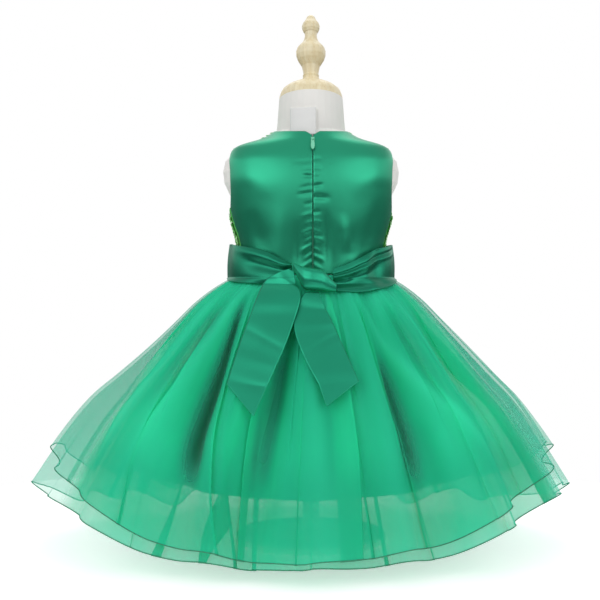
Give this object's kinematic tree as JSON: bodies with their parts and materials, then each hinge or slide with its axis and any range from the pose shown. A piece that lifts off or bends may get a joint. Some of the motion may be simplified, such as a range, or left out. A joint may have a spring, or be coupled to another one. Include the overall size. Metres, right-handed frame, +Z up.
{
  "type": "princess dress with sash on a limbless child's dress form",
  "caption": "Sleeveless child's party dress with a tied sash and a full tulle skirt, standing on a limbless dress form with a turned wooden finial.",
  "frame": {"origin": "centre of the underside of the form's round base, on the floor", "axes": "+X the wearer's right, +Y the front of the dress (the zipped back faces -Y), +Z up"},
  "size_m": [0.7121, 0.5403, 0.7048],
  "materials": {
    "cream_cover": "plain matt cream cotton cover, stretched",
    "beech_wood": "pale turned beech, satin varnish",
    "pale_stand": "pale painted steel, guessed",
    "green_satin": "emerald satin with a soft broad sheen",
    "lime_sequins": "cloth covered in yellow-green sequins, glittering",
    "green_zip": "fine moulded coil in the cloth's green",
    "mint_enamel": "mint lacquer, slightly glossy",
    "green_sash": "darker emerald satin, pressed, soft sheen",
    "green_tulle": "sheer fine tulle, matt",
    "green_lining": "plain dark green lining, low sheen",
    "white_label": "bare white woven tape"
  },
  "bodies": {
    "dress_on_form": {"form_torso": "cream_cover", "form_neck_cap": "beech_wood", "form_finial": "beech_wood", "form_pole": "pale_stand", "form_base": "pale_stand", "bodice_front": "lime_sequins", "bodice_back_left": "green_satin", "bodice_back_right": "green_satin", "zip_chain": "green_zip", "zip_slider": "mint_enamel", "sash_front": "green_sash", "sash_back_left": "green_sash", "sash_back_right": "green_sash", "sash_knot": "green_sash", "sash_tail_left": "green_sash", "sash_tail_right": "green_sash", "skirt_tulle_outer": "green_tulle", "skirt_tulle_inner": "green_tulle", "skirt_lining": "green_lining", "neck_label": "white_label"},
    "pull": {"zip_pull": "mint_enamel"}
  },
  "joints": [
    {"name": "pull_swing", "type": "hinge", "parent": "dress_on_form", "child": "pull", "pos_m": [0.0016, -0.06386, 0.52589], "axis": [-1, 0, 0], "range_deg": [0, 150]}
  ]
}
